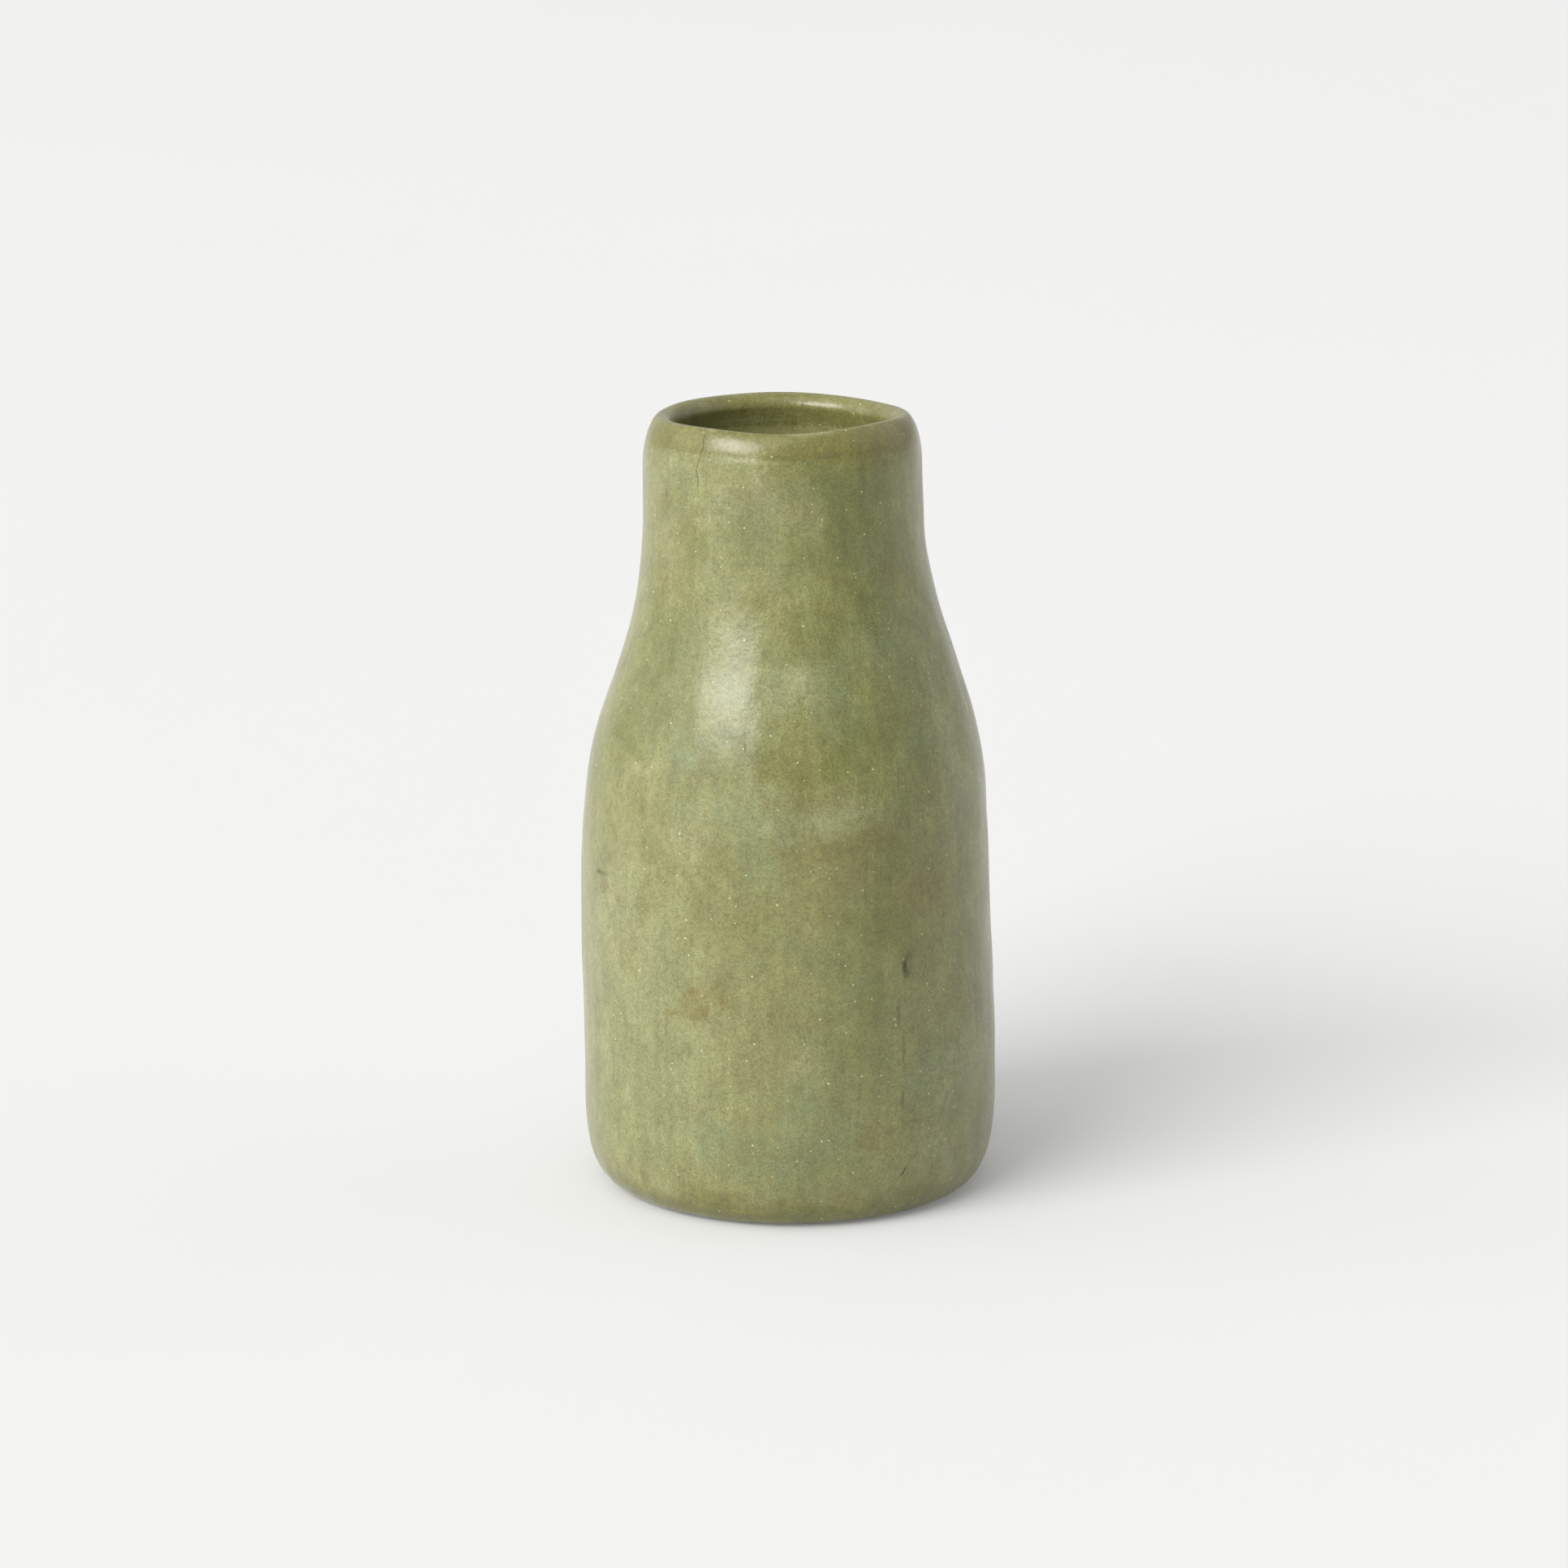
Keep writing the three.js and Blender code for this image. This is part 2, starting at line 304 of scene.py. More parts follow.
def sections():
    """The outline's stretches in order: from the middle of the underside, up the outside, over
    the lip and down the inside to the middle of the floor. Each is (side, points)."""
    under = np.vstack([[0, 0], wall_path(outer_radius, 0, SLAB_EDGE_HEIGHT)])
    made = [("under", even_steps(under, UNDER_STEP))]
    rising = [SLAB_EDGE_HEIGHT, *JOINTS]
    for low, high in zip(rising, rising[1:]):
        made.append(("out", even_steps(wall_path(outer_radius, low, high), OUTER_STEP)))
    crest = np.vstack([wall_path(outer_radius, RIM_JOINT, HEIGHT), mouth_path()[1:]])
    made.append(("lip", even_steps(crest, LIP_STEP)))
    falling = [*(z - SCARF for z in reversed(JOINTS)), FLOOR_HEIGHT]
    for high, low in zip(falling, falling[1:]):
        made.append(("in", even_steps(wall_path(inner_radius, low, high)[::-1], INNER_STEP)))
    floor = [[FLOOR_CORNER_RADIUS, FLOOR_HEIGHT], [0, FLOOR_HEIGHT]]
    made.append(("floor", even_steps(floor, INNER_STEP)))
    return made


def column_bearings():
    """Bearings round the vase in radians, closer together where a crack needs it."""
    at = [-180.0]
    while at[-1] < 180 - COLUMN_STEP / 2:
        here = at[-1]
        finer = (step for first, last, step in FINE_COLUMNS if first <= here < last)
        at.append(here + next(finer, COLUMN_STEP))
    return np.radians(at[:-1])


BEARINGS = column_bearings()


# ---------------------------------------------------------------- marks as fields on the skin

def across(skin, bearing, height):
    """Distances in mm round and up the wall from a point on it."""
    turn = (skin["bearing"] - math.radians(bearing) + math.pi) % (2 * math.pi) - math.pi
    return turn * skin["radius"], skin["height"] - height


def patch_field(skin, patches, drift, power=2.6):
    """How strongly each point lies in the soft patches, with their edges moved by drift."""
    field = np.zeros(skin["height"].shape)
    for bearing, height, half_width, half_height, strength, *leans in patches:
        x, y = across(skin, bearing, height)
        x = x + drift[0]
        y = y + drift[1]
        lean = math.radians(sum(leans))
        wide = (x * math.cos(lean) + y * math.sin(lean)) / half_width
        high = (y * math.cos(lean) - x * math.sin(lean)) / half_height
        field = np.maximum(field, strength * np.exp(-np.hypot(wide, high) ** power))
    return field


def line_distance(skin, points, drift):
    """Distance in mm from each point to a line on the wall, and how far along it that is."""
    nearest = np.full(skin["height"].shape, np.inf)
    along = np.zeros(nearest.shape)
    last = len(points) - 1
    for i, (start, end) in enumerate(zip(points, points[1:])):
        x, y = across(skin, *start)
        x = x + drift[0]
        y = y + drift[1]
        to_x = math.radians(end[0] - start[0]) * skin["radius"]
        to_y = end[1] - start[1]
        t = np.clip((x * to_x + y * to_y) / (to_x**2 + to_y**2), 0, 1)
        far = np.hypot(x - t * to_x, y - t * to_y)
        along = np.where(far < nearest, (i + t) / last, along)
        nearest = np.minimum(far, nearest)
    return nearest, along


def back_patches(seed):
    """Scattered patches for the side that the listed ones don't reach."""
    random = np.random.default_rng(seed)
    made = []
    for _ in range(BACK_PATCHES):
        half_width = random.uniform(3, 10)
        bearing = random.uniform(FRONT_REACH, 360 - FRONT_REACH)
        height = random.uniform(8, 218)
        half_height = half_width * random.uniform(0.6, 1.6)
        lean = random.uniform(-40, 40)
        strength = random.uniform(0.3, 0.9)
        made.append((bearing, height, half_width, half_height, strength, lean))
    return made


def edge_drift(skin, seed):
    """How far in mm the edges of patches are moved at each point."""
    return sum(distance * lumps(skin["flat"], size, seed + i)
               for i, (size, distance) in enumerate(DRIFTS))


def strip_field(skin, turn, drift):
    """The browner belly below the strip of slip, fading out downwards."""
    edge = STRIP_EDGE_HEIGHT + STRIP_EDGE_CLIMB * turn
    below = rise(edge - skin["height"] - 0.3 * drift, -0.5, 0.7) * rise(skin["height"], 96, 112)
    ends = rise(turn, STRIP_START - 3, STRIP_START + 3) * rise(turn, STRIP_END + 3, STRIP_END - 3)
    return 0.7 * ends * below


def add_tones(skin):
    """The slip's tones: green, brown, and pale minus deep. It is browner towards the foot, and
    deeper there with a painted shade where the foot turns under, and the rim coil has a tone of its
    own, which ends in an uneven edge."""
    height = skin["height"]
    drift = [edge_drift(skin, 21), edge_drift(skin, 25)]
    turn = np.degrees(skin["bearing"]) + drift[0]
    green = patch_field(skin, GREEN_PATCHES + back_patches(31), drift)
    brown = patch_field(skin, BROWN_PATCHES + back_patches(32), drift)
    pale = patch_field(skin, PALE_PATCHES + back_patches(33), drift)
    deep = patch_field(skin, DEEP_PATCHES + back_patches(34), drift)
    brown = np.maximum(brown, 0.9 * rise(height + drift[1], 15, 4))
    brown = np.maximum(brown, strip_field(skin, turn, drift[1]))
    # Painted shade: the lowest 12 mm of the foot is darkened where it turns under.
    deep = np.maximum(deep, 0.8 * rise(height + drift[1], 12, 2))
    spread = 1.2 * rise(turn, -10, 30)
    rim = rise(height + 0.2 * drift[1] + spread, RIM_JOINT - 1.0, RIM_JOINT + 0.2)
    skin["tones"] = np.stack([green, brown, pale * (1 - rim) - deep * (1 - 0.5 * rim)], axis=-1)
    skin["rim"] = rim * np.where(skin["radius"] < LIP_CREST_RADIUS - 1, 0.7, 1)


def add_marks(skin):
    """Dark smears, cracks and pale scratches, and how deep the cracks are cut."""
    flat = skin["flat"]
    jag = lumps(flat, 0.9, 23) * 0.07 + lumps(flat, 2.6, 24) * 0.16
    broken = np.clip(0.72 + 0.28 * lumps(flat, 1.6, 27), 0.3, 1)
    dark = patch_field(skin, DARK_PATCHES, (jag, jag), power=2.4) * broken
    pale = np.zeros(dark.shape)
    cut = np.zeros(dark.shape)
    for points, half_width, depth, darkness in LINES:
        far, way = line_distance(skin, points, (jag, jag * 0.4))
        taper = np.clip(4 * way + 0.45, 0, 1) * np.clip(4 * (1 - way) + 0.3, 0, 1)
        cut += depth * np.exp(-(far / half_width) ** 2) * taper
        shade = abs(darkness) * np.exp(-(far / (half_width * 1.35)) ** 2) * taper
        if darkness > 0:
            dark = np.maximum(dark, shade)
        else:
            pale = np.maximum(pale, shade)
    skin["dark"], skin["scratch"], skin["cut"] = dark, pale, cut


def add_joint_lines(skin):
    """Worn grooves where a joint still shows: under the rim coil, and round the slab's edge. The
    edge that the vase stands on is darkened, a painted contact shade."""
    flat, height = skin["flat"], skin["height"]
    turn = np.degrees(skin["bearing"])
    deep_side = rise(turn, -8, 6) * rise(turn, 80, 40)
    line = RIM_JOINT + 0.35 * lumps(flat, 24, 41) + 0.12 * lumps(flat, 4, 42)
    uneven = np.clip(0.75 + 0.5 * lumps(flat, 9, 43), 0.1, 1.4)
    rim_cut = (0.03 + 0.2 * deep_side) * uneven * np.exp(-((height - line) / 0.55) ** 2)
    line = SLAB_EDGE_HEIGHT + 0.5 * lumps(flat, 18, 44)
    uneven = np.clip(0.4 + 0.7 * lumps(flat, 7, 45), 0, 1.4)
    slab_cut = 0.05 * uneven * np.exp(-((height - line) / 0.4) ** 2)
    proud = 0.1 * deep_side * rise(height, RIM_JOINT - 0.3, RIM_JOINT + 0.5)
    skin["cut"] = skin["cut"] + rim_cut + slab_cut - proud
    # Painted contact shade: the lowest millimetre of the foot is darkened where it meets the floor.
    painted_contact_shade = 0.8 * rise(height, 0.9, 0.3)
    skin["dark"] = np.maximum(skin["dark"], np.clip(1.1 * rim_cut + slab_cut, painted_contact_shade, 0.8))


# ---------------------------------------------------------------- relief

def outer_relief(skin):
    """Hand-pressed lumps and the strokes of the burnishing stone, which run up the wall and
    round the rim."""
    flat, height = skin["flat"], skin["height"]
    wave = 0.13 * lumps(flat, 34, 51) + 0.07 * lumps(flat, 13, 52)
    strokes = 0.012 * lumps(flat, 3.2, 53, stretch=(1, 1, 8)) + 0.010 * lumps(flat, 5, 54)
    round_rim = 0.02 * lumps(flat, 2.2, 55, stretch=(9, 9, 1))
    at_rim = rise(height, RIM_JOINT - 3, RIM_JOINT + 1)
    pressed = patch_field(skin, PRESSED, (0, 0), power=2)
    relief = wave + pressed + strokes * (1 - at_rim) + round_rim * at_rim - skin["cut"]
    return relief * rise(height, 0, 3)


def under_relief(skin):
    """The underside is worn, and hollow towards its middle, so the vase stands on its edge."""
    hollow = 0.35 * rise(BASE_RADIUS - skin["radius"], 2, 26)
    return -hollow - 0.06 * np.abs(lumps(skin["flat"], 6, 61))


def inner_relief(skin):
    """Below the mouth the inside keeps the ridges that fingers left drawing up each coil."""
    flat, height = skin["flat"], skin["height"]
    ridges = np.sin(2 * math.pi * (height / 8.5 + 0.3 * lumps(flat, 40, 56)))
    ridges = ridges * np.clip(0.22 + 0.14 * lumps(flat, 26, 62), 0.02, 0.5)
    rough = rise(height, HEIGHT - 34, HEIGHT - 50) * (ridges + 0.3 * lumps(flat, 11, 57))
    return rough + 0.08 * lumps(flat, 34, 51) + 0.05 * lumps(flat, 3, 58, stretch=(6, 6, 1))


def floor_relief(skin):
    """The inside's floor, pressed flat by hand."""
    return 0.25 * lumps(skin["flat"], 12, 59) + 0.1 * lumps(skin["flat"], 4, 60)


def rim_lift(bearing):
    """How far in mm the uneven rim stands above or below its mean height."""
    return sum(lift * np.cos(lobes * (bearing - math.radians(crest)))
               for lobes, lift, crest in RIM_LOBES)


def skin_normals(place):
    """Smooth normals from the neighbouring rows and columns, which wrap round."""
    around = np.roll(place, -1, axis=1) - np.roll(place, 1, axis=1)
    normal = np.cross(around, np.gradient(place, axis=0))
    normal /= np.maximum(np.linalg.norm(normal, axis=-1, keepdims=True), 1e-12)
    normal[0] = 0, 0, -1
    normal[-1] = 0, 0, 1
    return normal


def model_skin():
    """The vase's whole skin as rows by columns of points, with normals and fields of marks."""
    parts = sections()
    rows = np.vstack([parts[0][1]] + [points[1:] for _, points in parts[1:]])
    sides = [parts[0][0]] * len(parts[0][1])
    ends = [len(sides) - 1]
    for side, points in parts[1:]:
        sides += [side] * (len(points) - 1)
        ends.append(len(sides) - 1)
    side = np.array(sides)[:, None]

    grid = np.ones((len(rows), len(BEARINGS)))
    bearing = grid * BEARINGS
    radius = grid * rows[:, :1]
    height = grid * rows[:, 1:]
    flat = np.stack([radius * np.sin(bearing), -radius * np.cos(bearing), height], axis=-1)
    skin = {"bearing": bearing, "radius": np.maximum(radius, 1), "height": height, "flat": flat}
    add_tones(skin)
    add_marks(skin)
    add_joint_lines(skin)

    relief = np.where(side == "under", under_relief(skin), outer_relief(skin))
    relief = np.where(side == "in", inner_relief(skin), relief)
    relief = np.where(side == "floor", floor_relief(skin), relief)
    along = np.gradient(rows, axis=0)
    along /= np.linalg.norm(along, axis=1)[:, None]
    radius = radius + relief * along[:, 1:]
    height = height - relief * along[:, :1]
    share = np.clip((height - RIM_JOINT + 20) / (HEIGHT - RIM_JOINT + 20), 0, 1)
    height = np.maximum(height + share**2 * rim_lift(bearing), 0)
    drift = wall_drift(height)
    place = np.stack([radius * np.sin(bearing) + drift, -radius * np.cos(bearing), height], axis=-1)

    outside = (side == "under") | (side == "out") | (side == "lip")
    down_inside = rise(height, HEIGHT - 26, HEIGHT - 46)
    raw = np.where(outside, np.where(side == "under", rise(height, 1.2, 0.2), 0), down_inside)
    skin.update(place=place, normal=skin_normals(place), ends=ends, raw=raw)
    skin["tones"] = skin["tones"] * outside[..., None]
    skin["marks"] = np.stack([
        np.clip(skin["dark"] * outside, 0, 1),
        np.where(side == "in", 0.12 * (1 - raw), skin["scratch"] * outside),
        np.where(side == "in", 0.4 * (1 - raw), skin["rim"]),
    ], axis=-1)
    return skin


# ---------------------------------------------------------------- pieces

PLAIN_CLAY = [0, 0, 0, 0, 0, 0, 1.0]  # no tones, no marks, and raw


class Rings:
    """Rings of points that make up one closed piece, in order round its section."""

    def __init__(self, skin):
        self.skin = skin
        self.place = []
        self.normal = []
        self.fields = []
        self.smooth = []  # whether the band from each ring to the next is visible skin

    def add_skin(self, first, last):
        skin = self.skin
        for row in range(first, last + 1):
            fields = np.column_stack([skin["tones"][row], skin["marks"][row], skin["raw"][row]])
            self.place.append(skin["place"][row])
            self.normal.append(skin["normal"][row])
            self.fields.append(fields)
            self.smooth.append(row < last)

    def add_joint(self, radius, height):
        """One ring of a hidden joint face."""
        drift = wall_drift(np.array(height))
        count = len(BEARINGS)
        self.place.append(np.column_stack([
            radius * np.sin(BEARINGS) + drift,
            -radius * np.cos(BEARINGS),
            np.full(count, height),
        ]))
        self.normal.append(np.zeros((count, 3)))
        self.fields.append(np.tile(PLAIN_CLAY, (count, 1)))
        self.smooth.append(False)


def ring_faces(rings, closed):
    """Quads between each ring and the next, with the last ring joined to the first if closed."""
    count = len(BEARINGS)
    near = np.arange(rings if closed else rings - 1)[:, None] * count
    far = (near + count) % (rings * count)
    here = np.arange(count)
    beside = (here + 1) % count
    quads = np.stack([near + here, near + beside, far + beside, far + here], axis=-1)
    return quads.reshape(-1, 4)


def mesh_from(name, points, faces, normals, fields):
    """A mesh with a normal for each face corner, and the fields that its material reads."""
    mesh = bpy.data.meshes.new(name)
    mesh.from_pydata((points * MM).tolist(), [], faces)
    mesh.polygons.foreach_set("use_smooth", np.ones(len(faces), bool))
    mesh.normals_split_custom_set(normals.tolist())
    for field, part in (("tones", fields[:, :3]), ("marks", fields[:, 3:6])):
        layer = mesh.attributes.new(field, "FLOAT_VECTOR", "POINT")
        layer.data.foreach_set("vector", part.astype(np.float32).ravel())
    layer = mesh.attributes.new("raw", "FLOAT", "POINT")
    layer.data.foreach_set("value", fields[:, 6].astype(np.float32))
    return mesh


def corner_normals(rings, points, quads):
    """The skin's own normals at the corners of visible faces, and flat ones on hidden joints."""
    corner = points[quads]
    flat = np.cross(corner[:, 2] - corner[:, 0], corner[:, 3] - corner[:, 1])
    flat /= np.maximum(np.linalg.norm(flat, axis=-1, keepdims=True), 1e-12)
    smooth = np.repeat(rings.smooth, len(BEARINGS))[:len(quads), None, None]
    return np.where(smooth, np.concatenate(rings.normal)[quads], flat[:, None, :])


def ring_piece(name, rings):
    """A closed ring of clay, such as one course of the wall."""
    points = np.concatenate(rings.place)
    quads = ring_faces(len(rings.place), closed=True)
    normals = corner_normals(rings, points, quads).reshape(-1, 3)
    mesh = mesh_from(name, points, quads.tolist(), normals, np.concatenate(rings.fields))
    return place_piece(name, mesh)


def slab_piece(name, rings):
    """A closed disc of clay. Its first and last rings lie on the axis, and each becomes a point
    with a fan of triangles round it."""
    count = len(BEARINGS)
    points = np.concatenate(rings.place)
    quads = ring_faces(len(rings.place), closed=False)
    normals = corner_normals(rings, points, quads)
    fields = np.concatenate(rings.fields)

    middle = slice(count, -count)
    poles = [points[:count].mean(0), points[-count:].mean(0)]
    points = np.vstack([points[middle], poles])
    fields = np.vstack([fields[middle], fields[0], fields[-1]])
    bottom = len(points) - 2
    top = len(points) - 1
    low = [[bottom, quad[2] - count, quad[3] - count] for quad in quads[:count].tolist()]
    high = [[quad[0] - count, quad[1] - count, top] for quad in quads[-count:].tolist()]
    faces = (quads[middle] - count).tolist() + low + high
    fans = np.repeat([[0, 0, -1.0], [0, 0, 1.0]], 3 * count, axis=0)
    fans[:3 * count].reshape(count, 3, 3)[:, 1:] = normals[:count, 2:]
    fans[3 * count:].reshape(count, 3, 3)[:, :2] = normals[-count:, :2]
    normals = np.vstack([normals[middle].reshape(-1, 3), fans])
    return place_piece(name, mesh_from(name, points, faces, normals, fields))


def place_piece(name, mesh):
    """A mesh as an object in the scene."""
    piece = bpy.data.objects.new(name, mesh)
    bpy.context.scene.collection.objects.link(piece)
    return piece


def build_pieces(skin):
    """One finished piece for each CAD node, as {node: piece}. The skin's rows run up the outside
    and down the inside, so each course takes one stretch from either end."""
    ends = skin["ends"]
    courses = len(COURSES)
    made = {}
    slab = Rings(skin)
    slab.add_skin(0, ends[0])
    slab.add_joint(SLAB_STEP_RADIUS, SLAB_EDGE_HEIGHT)
    slab.add_joint(SLAB_STEP_RADIUS, FLOOR_HEIGHT)
    slab.add_skin(ends[-2], ends[-1])
    made["base_slab"] = slab_piece("base_slab_finished", slab)
    for i, node in enumerate(COURSES):
        course = Rings(skin)
        course.add_skin(ends[i], ends[i + 1])
        inner_end = 2 * courses + 1 - i
        course.add_skin(ends[inner_end - 1], ends[inner_end])
        if node == "foot_course":
            course.add_joint(SLAB_STEP_RADIUS, FLOOR_HEIGHT)
            course.add_joint(SLAB_STEP_RADIUS, SLAB_EDGE_HEIGHT)
        made[node] = ring_piece(f"{node}_finished", course)
    rim = Rings(skin)
    rim.add_skin(ends[courses], ends[courses + 1])
    made["rim_coil"] = ring_piece("rim_coil_finished", rim)
    return made


# ---------------------------------------------------------------- materials

class Tree:
    """Short calls that wire up a material's or the world's nodes."""

    def __init__(self, owner):
        owner.use_nodes = True
        self.tree = owner.node_tree
        self.tree.nodes.clear()

    def add(self, kind, inputs=(), output=0, **settings):
        """A node's output. Inputs are numbers, colours or other nodes' outputs, by name."""
        node = self.tree.nodes.new("ShaderNode" + kind)
        for key, value in settings.items():
            setattr(node, key, value)
        for key, value in dict(inputs).items():
            if isinstance(value, bpy.types.NodeSocket):
                self.tree.links.new(value, node.inputs[key])
            else:
                node.inputs[key].default_value = value
        return node.outputs[output] if node.outputs else node

    def math(self, operation, *values, clamp=False):
        return self.add("Math", enumerate(values), operation=operation, use_clamp=clamp)

    def mix(self, factor, first, second, blend="MIX"):
        values = {0: factor, 6: first, 7: second}
        return self.add("Mix", values, 2, data_type="RGBA", blend_type=blend)

    def fade(self, value, low, high, start=0.0, end=1.0):
        """start where value is at or below low, end at or above high, smooth between."""
        values = {0: value, 1: low, 2: high, 3: start, 4: end}
        return self.add("MapRange", values, interpolation_type="SMOOTHSTEP")

    def field(self, name, part=None):
        """One of the mesh's own fields, or one part of it."""
        if part is None:
            return self.add("Attribute", output=2, attribute_name=name)
        vector = self.add("Attribute", output=1, attribute_name=name)
        return self.add("SeparateXYZ", {0: vector}, part)

    def scaled(self, size, stretch=(1, 1, 1)):
        """Object coordinates, in units of size mm."""
        place = self.add("TexCoord", output="Object")
        factors = [1 / (MM * size * longer) for longer in stretch]
        return self.add("VectorMath", {0: place, 1: factors}, operation="MULTIPLY")

    def noise(self, size, detail=2.0, roughness=0.5, stretch=(1, 1, 1)):
        """Noise from 0 to 1 whose features are about size mm across."""
        return self.add("TexNoise", {
            "Vector": self.scaled(size, stretch), "Scale": 1.0, "Detail": detail,
            "Roughness": roughness,
        })

    def specks(self, cell, radius, share):
        """1 in grains up to radius mm, one in some of the cells of cell mm; 0 elsewhere."""
        values = {"Vector": self.scaled(cell), "Scale": 1.0, "Randomness": 1.0}
        far = self.add("TexVoronoi", values, "Distance")
        own = self.add("TexVoronoi", values, "Color")
        chance = self.add("SeparateColor", {0: own}, 0)
        size = self.add("SeparateColor", {0: own}, 1)
        reach = self.math("MULTIPLY_ADD", size, 0.6 * radius / cell, 0.4 * radius / cell)
        inside = self.fade(self.math("DIVIDE", far, reach), 1.0, 0.6)
        return self.math("MULTIPLY", inside, self.math("GREATER_THAN", chance, 1 - share))


# The clay's tones. Linear colours.
OLIVE = (0.222, 0.221, 0.086, 1)
GREEN = (0.178, 0.201, 0.089, 1)
BROWN = (0.194, 0.172, 0.058, 1)
PALE = (0.268, 0.270, 0.142, 1)
DEEP = (0.148, 0.157, 0.046, 1)
RIM_OLIVE = (0.178, 0.165, 0.048, 1)
RAW = (0.190, 0.172, 0.092, 1)
SAND = (0.62, 0.55, 0.30, 1)
# Also the colour of the painted contact shade along the foot's lowest edge.
SOOT_AND_SHADE = (0.040, 0.040, 0.028, 1)
SCRATCH = (0.36, 0.36, 0.19, 1)

# Sizes of grains and pits in mm: the cells that they lie in, their radius, and the share of the
# cells that have one.
SAND_GRAINS = (2.4, 0.36, 0.45)
PITS = (1.4, 0.22, 0.6)

# Heights in mm of the fine relief.
LEATHER_HEIGHT = 0.105
GRAIN_HEIGHT = 0.012
PIT_DEPTH = 0.06
RAW_HEIGHT = 0.10

# Roughness of each kind of surface. The burnish is uneven.
BURNISHED = (0.235, 0.32)
RIM_POLISH = 0.02  # the rim is handled more, and is this much smoother
SAND_ROUGHNESS = 0.6
RAW_ROUGHNESS = 0.8


def clay_colour(tree, rim_share):
    """Olive clay with its patches, mottling, streaks and leathery grain."""
    drift = tree.noise(26, detail=3.0)
    wide = tree.noise(11, detail=5.0, roughness=0.65)
    mottle = tree.noise(4.6, detail=5.0, roughness=0.68, stretch=(1, 1, 1.4))
    fine = tree.noise(1.9, detail=4.0, roughness=0.65)
    streaks = tree.noise(3.0, detail=3.0, roughness=0.6, stretch=(1, 1, 12))
    grain = tree.noise(0.6, detail=3.0, roughness=0.7)

    green = tree.math("ADD", tree.field("tones", 0), tree.fade(drift, 0.5, 0.68, 0, 0.25))
    green = tree.math("MULTIPLY", green, tree.fade(wide, 0.34, 0.58, 0.45, 1.0))
    green = tree.math("ADD", green, tree.fade(mottle, 0.48, 0.66, 0, 0.40), clamp=True)
    brown = tree.math("ADD", tree.field("tones", 1), tree.fade(drift, 0.5, 0.34, 0, 0.20))
    brown = tree.math("MULTIPLY", brown, tree.fade(wide, 0.66, 0.42, 0.45, 1.0))
    brown = tree.math("ADD", brown, tree.fade(fine, 0.5, 0.32, 0, 0.35), clamp=True)
    tone = tree.math("MULTIPLY", tree.field("tones", 2), tree.fade(wide, 0.3, 0.6, 0.7, 1.1))
    colour = tree.mix(tree.math("MAXIMUM", tone, 0.0), OLIVE, PALE)
    colour = tree.mix(green, colour, GREEN)
    colour = tree.mix(brown, colour, BROWN)
    colour = tree.mix(tree.math("MAXIMUM", tree.math("MULTIPLY", tone, -1.0), 0.0), colour, DEEP)
    colour = tree.mix(rim_share, colour, RIM_OLIVE)

    shade = tree.fade(wide, 0.34, 0.66, 0.92, 1.08)
    shade = tree.math("MULTIPLY_ADD", tree.math("MAXIMUM", tone, 0.0), 0.10, shade)
    for noise, strength in ((mottle, 0.065), (fine, 0.07), (streaks, 0.07), (grain, 0.24)):
        part = tree.fade(noise, 0.28, 0.72, 1 - strength, 1 + strength)
        shade = tree.math("MULTIPLY", shade, part)
    return tree.mix(1.0, colour, shade, blend="MULTIPLY")


def clay_material(name):
    """Burnished clay outside and round the mouth, and wiped, unburnished clay further inside
    and underneath, by the mesh's own fields."""
    material = bpy.data.materials.new(name)
    tree = Tree(material)
    raw = tree.field("raw")
    dark = tree.field("marks", 0)
    rim = tree.field("marks", 2)
    sand = tree.specks(*SAND_GRAINS)
    pits = tree.specks(*PITS)
    leather = tree.noise(2.4, detail=3.0, roughness=0.55)
    grain = tree.noise(0.45, detail=1.0)

    colour = clay_colour(tree, tree.math("MULTIPLY", rim, 0.8))
    colour = tree.mix(raw, colour, RAW)
    colour = tree.mix(tree.math("MULTIPLY", sand, 0.9), colour, SAND)
    colour = tree.mix(tree.math("MULTIPLY", pits, 0.65), colour, SOOT_AND_SHADE)
    colour = tree.mix(tree.field("marks", 1), colour, SCRATCH)
    # Dark marks, and the painted contact shade at the foot's lowest edge.
    colour = tree.mix(tree.math("MULTIPLY", dark, 0.85), colour, SOOT_AND_SHADE)

    polish = tree.noise(7, detail=3.0, stretch=(1, 1, 3))
    rough = tree.fade(polish, 0.3, 0.7, *BURNISHED)
    rough = tree.math("MULTIPLY_ADD", rim, -RIM_POLISH, rough)
    rough = tree.add("Mix", {0: tree.math("MAXIMUM", raw, dark), 2: rough, 3: RAW_ROUGHNESS})
    rough = tree.add("Mix", {0: sand, 2: rough, 3: SAND_ROUGHNESS})

    height = tree.math("MULTIPLY", leather, LEATHER_HEIGHT)
    height = tree.math("MULTIPLY_ADD", grain, GRAIN_HEIGHT, height)
    height = tree.math("MULTIPLY_ADD", pits, -PIT_DEPTH, height)
    raw_grain = tree.math("MULTIPLY", raw, tree.noise(0.9, detail=4.0))
    height = tree.math("MULTIPLY_ADD", raw_grain, RAW_HEIGHT, height)
    bump = tree.add("Bump", {"Strength": 1.0, "Distance": MM, "Height": height})

    shader = tree.add("BsdfPrincipled", {
        "Base Color": colour, "Roughness": rough, "Normal": bump, "IOR": 1.5,
        "Sheen Weight": 0.12, "Sheen Roughness": 0.35, "Sheen Tint": (1, 0.97, 0.82, 1),
    })
    tree.add("OutputMaterial", {"Surface": shader})
    return material


# ---------------------------------------------------------------- the stage

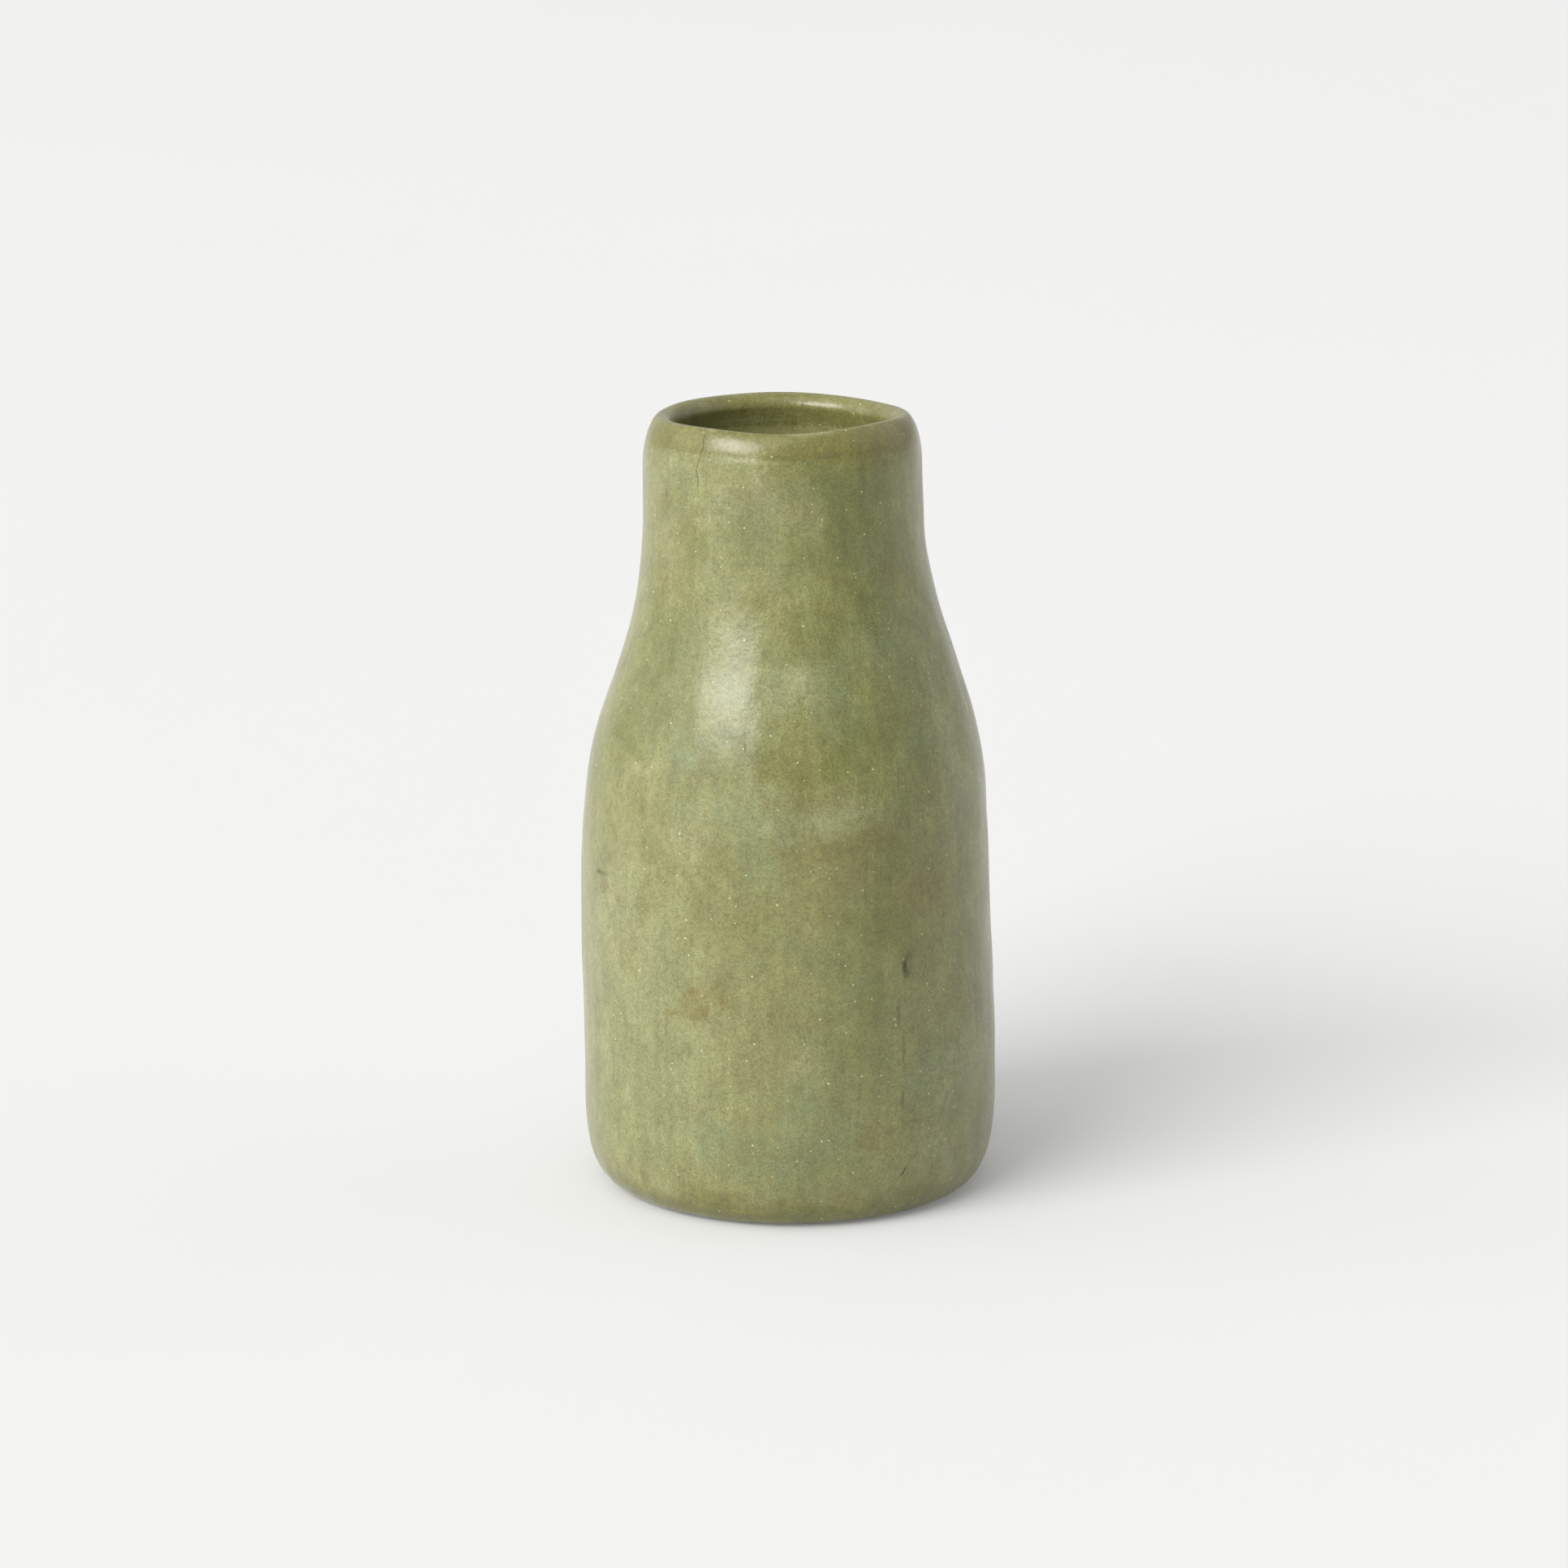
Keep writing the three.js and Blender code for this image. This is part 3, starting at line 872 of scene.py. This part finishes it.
# Metres.
FLOOR_HALF_SIDE = 16.0
SIGHT_LIMIT = 60.0  # beyond the floor's far corners
LIGHT_DISTANCE = 90.0
CAMERA_PLACE = (-0.0015, -1.4755, 0.4788)

CAMERA_TILT = 76.304  # degrees up from looking straight down
FOCAL_LENGTH = 118.3  # mm
SENSOR_WIDTH = 36  # mm

# The floor's two tones, which drift into each other, and a painted glow: the floor gives off a
# little light of its own, which also lightens the shadows on it.
FLOOR_TONES = (0.598, 0.598, 0.592, 1), (0.602, 0.602, 0.598, 1)
FLOOR_DRIFT = 900  # mm
FLOOR_GLOW = 0.145

# Soft boxes: name, bearing to the left of the camera, elevation, width and height as seen from
# the vase, all in degrees, and irradiance in W/m2.
SOFT_BOXES = [
    ("key", 44, 32, 40, 26, 3.05),
    ("side_fill", 74, 28, 70, 50, 1.18),
    ("ceiling_panel", 30, 60, 50, 40, 0.78),
    ("right_fill", -98, 28, 56, 50, 0.50),
]

# The glow of the studio round about: the axis and the way along it of each side, and how bright
# that side is.
STUDIO_GLOWS = [
    (0, -1.0, 0.35),  # left
    (0, 1.0, 0.10),  # right
    (1, 1.0, 0.48),  # back wall
    (2, 1.0, 0.38),  # ceiling
]
PLAIN_GLOW = 0.885  # how bright the surroundings look where the camera sees them directly


def floor_material():
    material = bpy.data.materials.new("pale_floor")
    tree = Tree(material)
    shade = tree.fade(tree.noise(FLOOR_DRIFT, detail=2.0), 0.3, 0.7, 0.0, 1.0)
    # The emission is the painted glow, which lightens the floor and its shadows.
    shader = tree.add("BsdfPrincipled", {
        "Base Color": tree.mix(shade, *FLOOR_TONES), "Roughness": 0.9, "Specular IOR Level": 0.1,
        "Emission Color": (1, 1, 0.99, 1), "Emission Strength": FLOOR_GLOW,
    })
    tree.add("OutputMaterial", {"Surface": shader})
    return material


def build_floor():
    mesh = bpy.data.meshes.new("floor")
    side = FLOOR_HALF_SIDE
    corners = [(-side, -side, 0), (side, -side, 0), (side, side, 0), (-side, side, 0)]
    mesh.from_pydata(corners, [], [(0, 1, 2, 3)])
    mesh.materials.append(floor_material())
    floor = bpy.data.objects.new("floor", mesh)
    bpy.context.scene.collection.objects.link(floor)


def build_soft_box(name, bearing, elevation, width, height, irradiance):
    """A rectangular light, so far off that it lights the whole floor evenly."""
    light = bpy.data.lights.new(name, "AREA")
    light.shape = "RECTANGLE"
    light.size = 2 * LIGHT_DISTANCE * math.tan(math.radians(width / 2))
    light.size_y = 2 * LIGHT_DISTANCE * math.tan(math.radians(height / 2))
    light.energy = math.pi * irradiance * LIGHT_DISTANCE**2
    box = bpy.data.objects.new(name, light)
    turn = Euler((math.radians(90 - elevation), 0, math.radians(-bearing)))
    box.rotation_euler = turn
    box.location = turn.to_matrix() @ Vector((0, 0, LIGHT_DISTANCE))
    bpy.context.scene.collection.objects.link(box)


def build_world():
    """Soft light from the studio's sides, back wall and ceiling. Seen directly it is as pale as
    the floor."""
    world = bpy.data.worlds.new("studio")
    bpy.context.scene.world = world
    tree = Tree(world)
    direction = tree.add("TexCoord", output="Generated")
    level = 0.0
    for axis, way, glow in STUDIO_GLOWS:
        part = tree.math("MULTIPLY", tree.add("SeparateXYZ", {0: direction}, axis), way)
        facing = tree.math("MAXIMUM", part, 0.0)
        level = tree.math("MULTIPLY_ADD", facing, glow, level)
    seen = tree.add("LightPath", output="Is Camera Ray")
    strength = tree.add("Mix", {0: seen, 2: level, 3: PLAIN_GLOW})
    background = tree.add("Background", {"Color": (1, 1, 0.995, 1), "Strength": strength})
    tree.add("OutputWorld", {"Surface": background})


def build_camera():
    """About 1.5 m off, twice as high as the vase is tall, and looking a little down."""
    camera = bpy.data.cameras.new("camera")
    camera.lens = FOCAL_LENGTH
    camera.sensor_width = SENSOR_WIDTH
    camera.clip_end = SIGHT_LIMIT
    view = bpy.data.objects.new("camera", camera)
    view.location = CAMERA_PLACE
    view.rotation_euler = (math.radians(CAMERA_TILT), 0, 0)
    bpy.context.scene.collection.objects.link(view)
    bpy.context.scene.camera = view


# ---------------------------------------------------------------- everything together

SLOTS = {"base_slab": "base_clay", "rim_coil": "burnished_rim"}  # other nodes: burnished_wall

build_camera()
build_floor()
for soft_box in SOFT_BOXES:
    build_soft_box(*soft_box)
build_world()
bpy.context.scene.view_settings.view_transform = "Standard"

clays = {slot: clay_material(slot) for slot in ("burnished_wall", "burnished_rim", "base_clay")}
for node, piece in build_pieces(model_skin()).items():
    slot = SLOTS.get(node, "burnished_wall")
    piece.data.materials.append(clays[slot])
    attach(piece, "root")
    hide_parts(node)
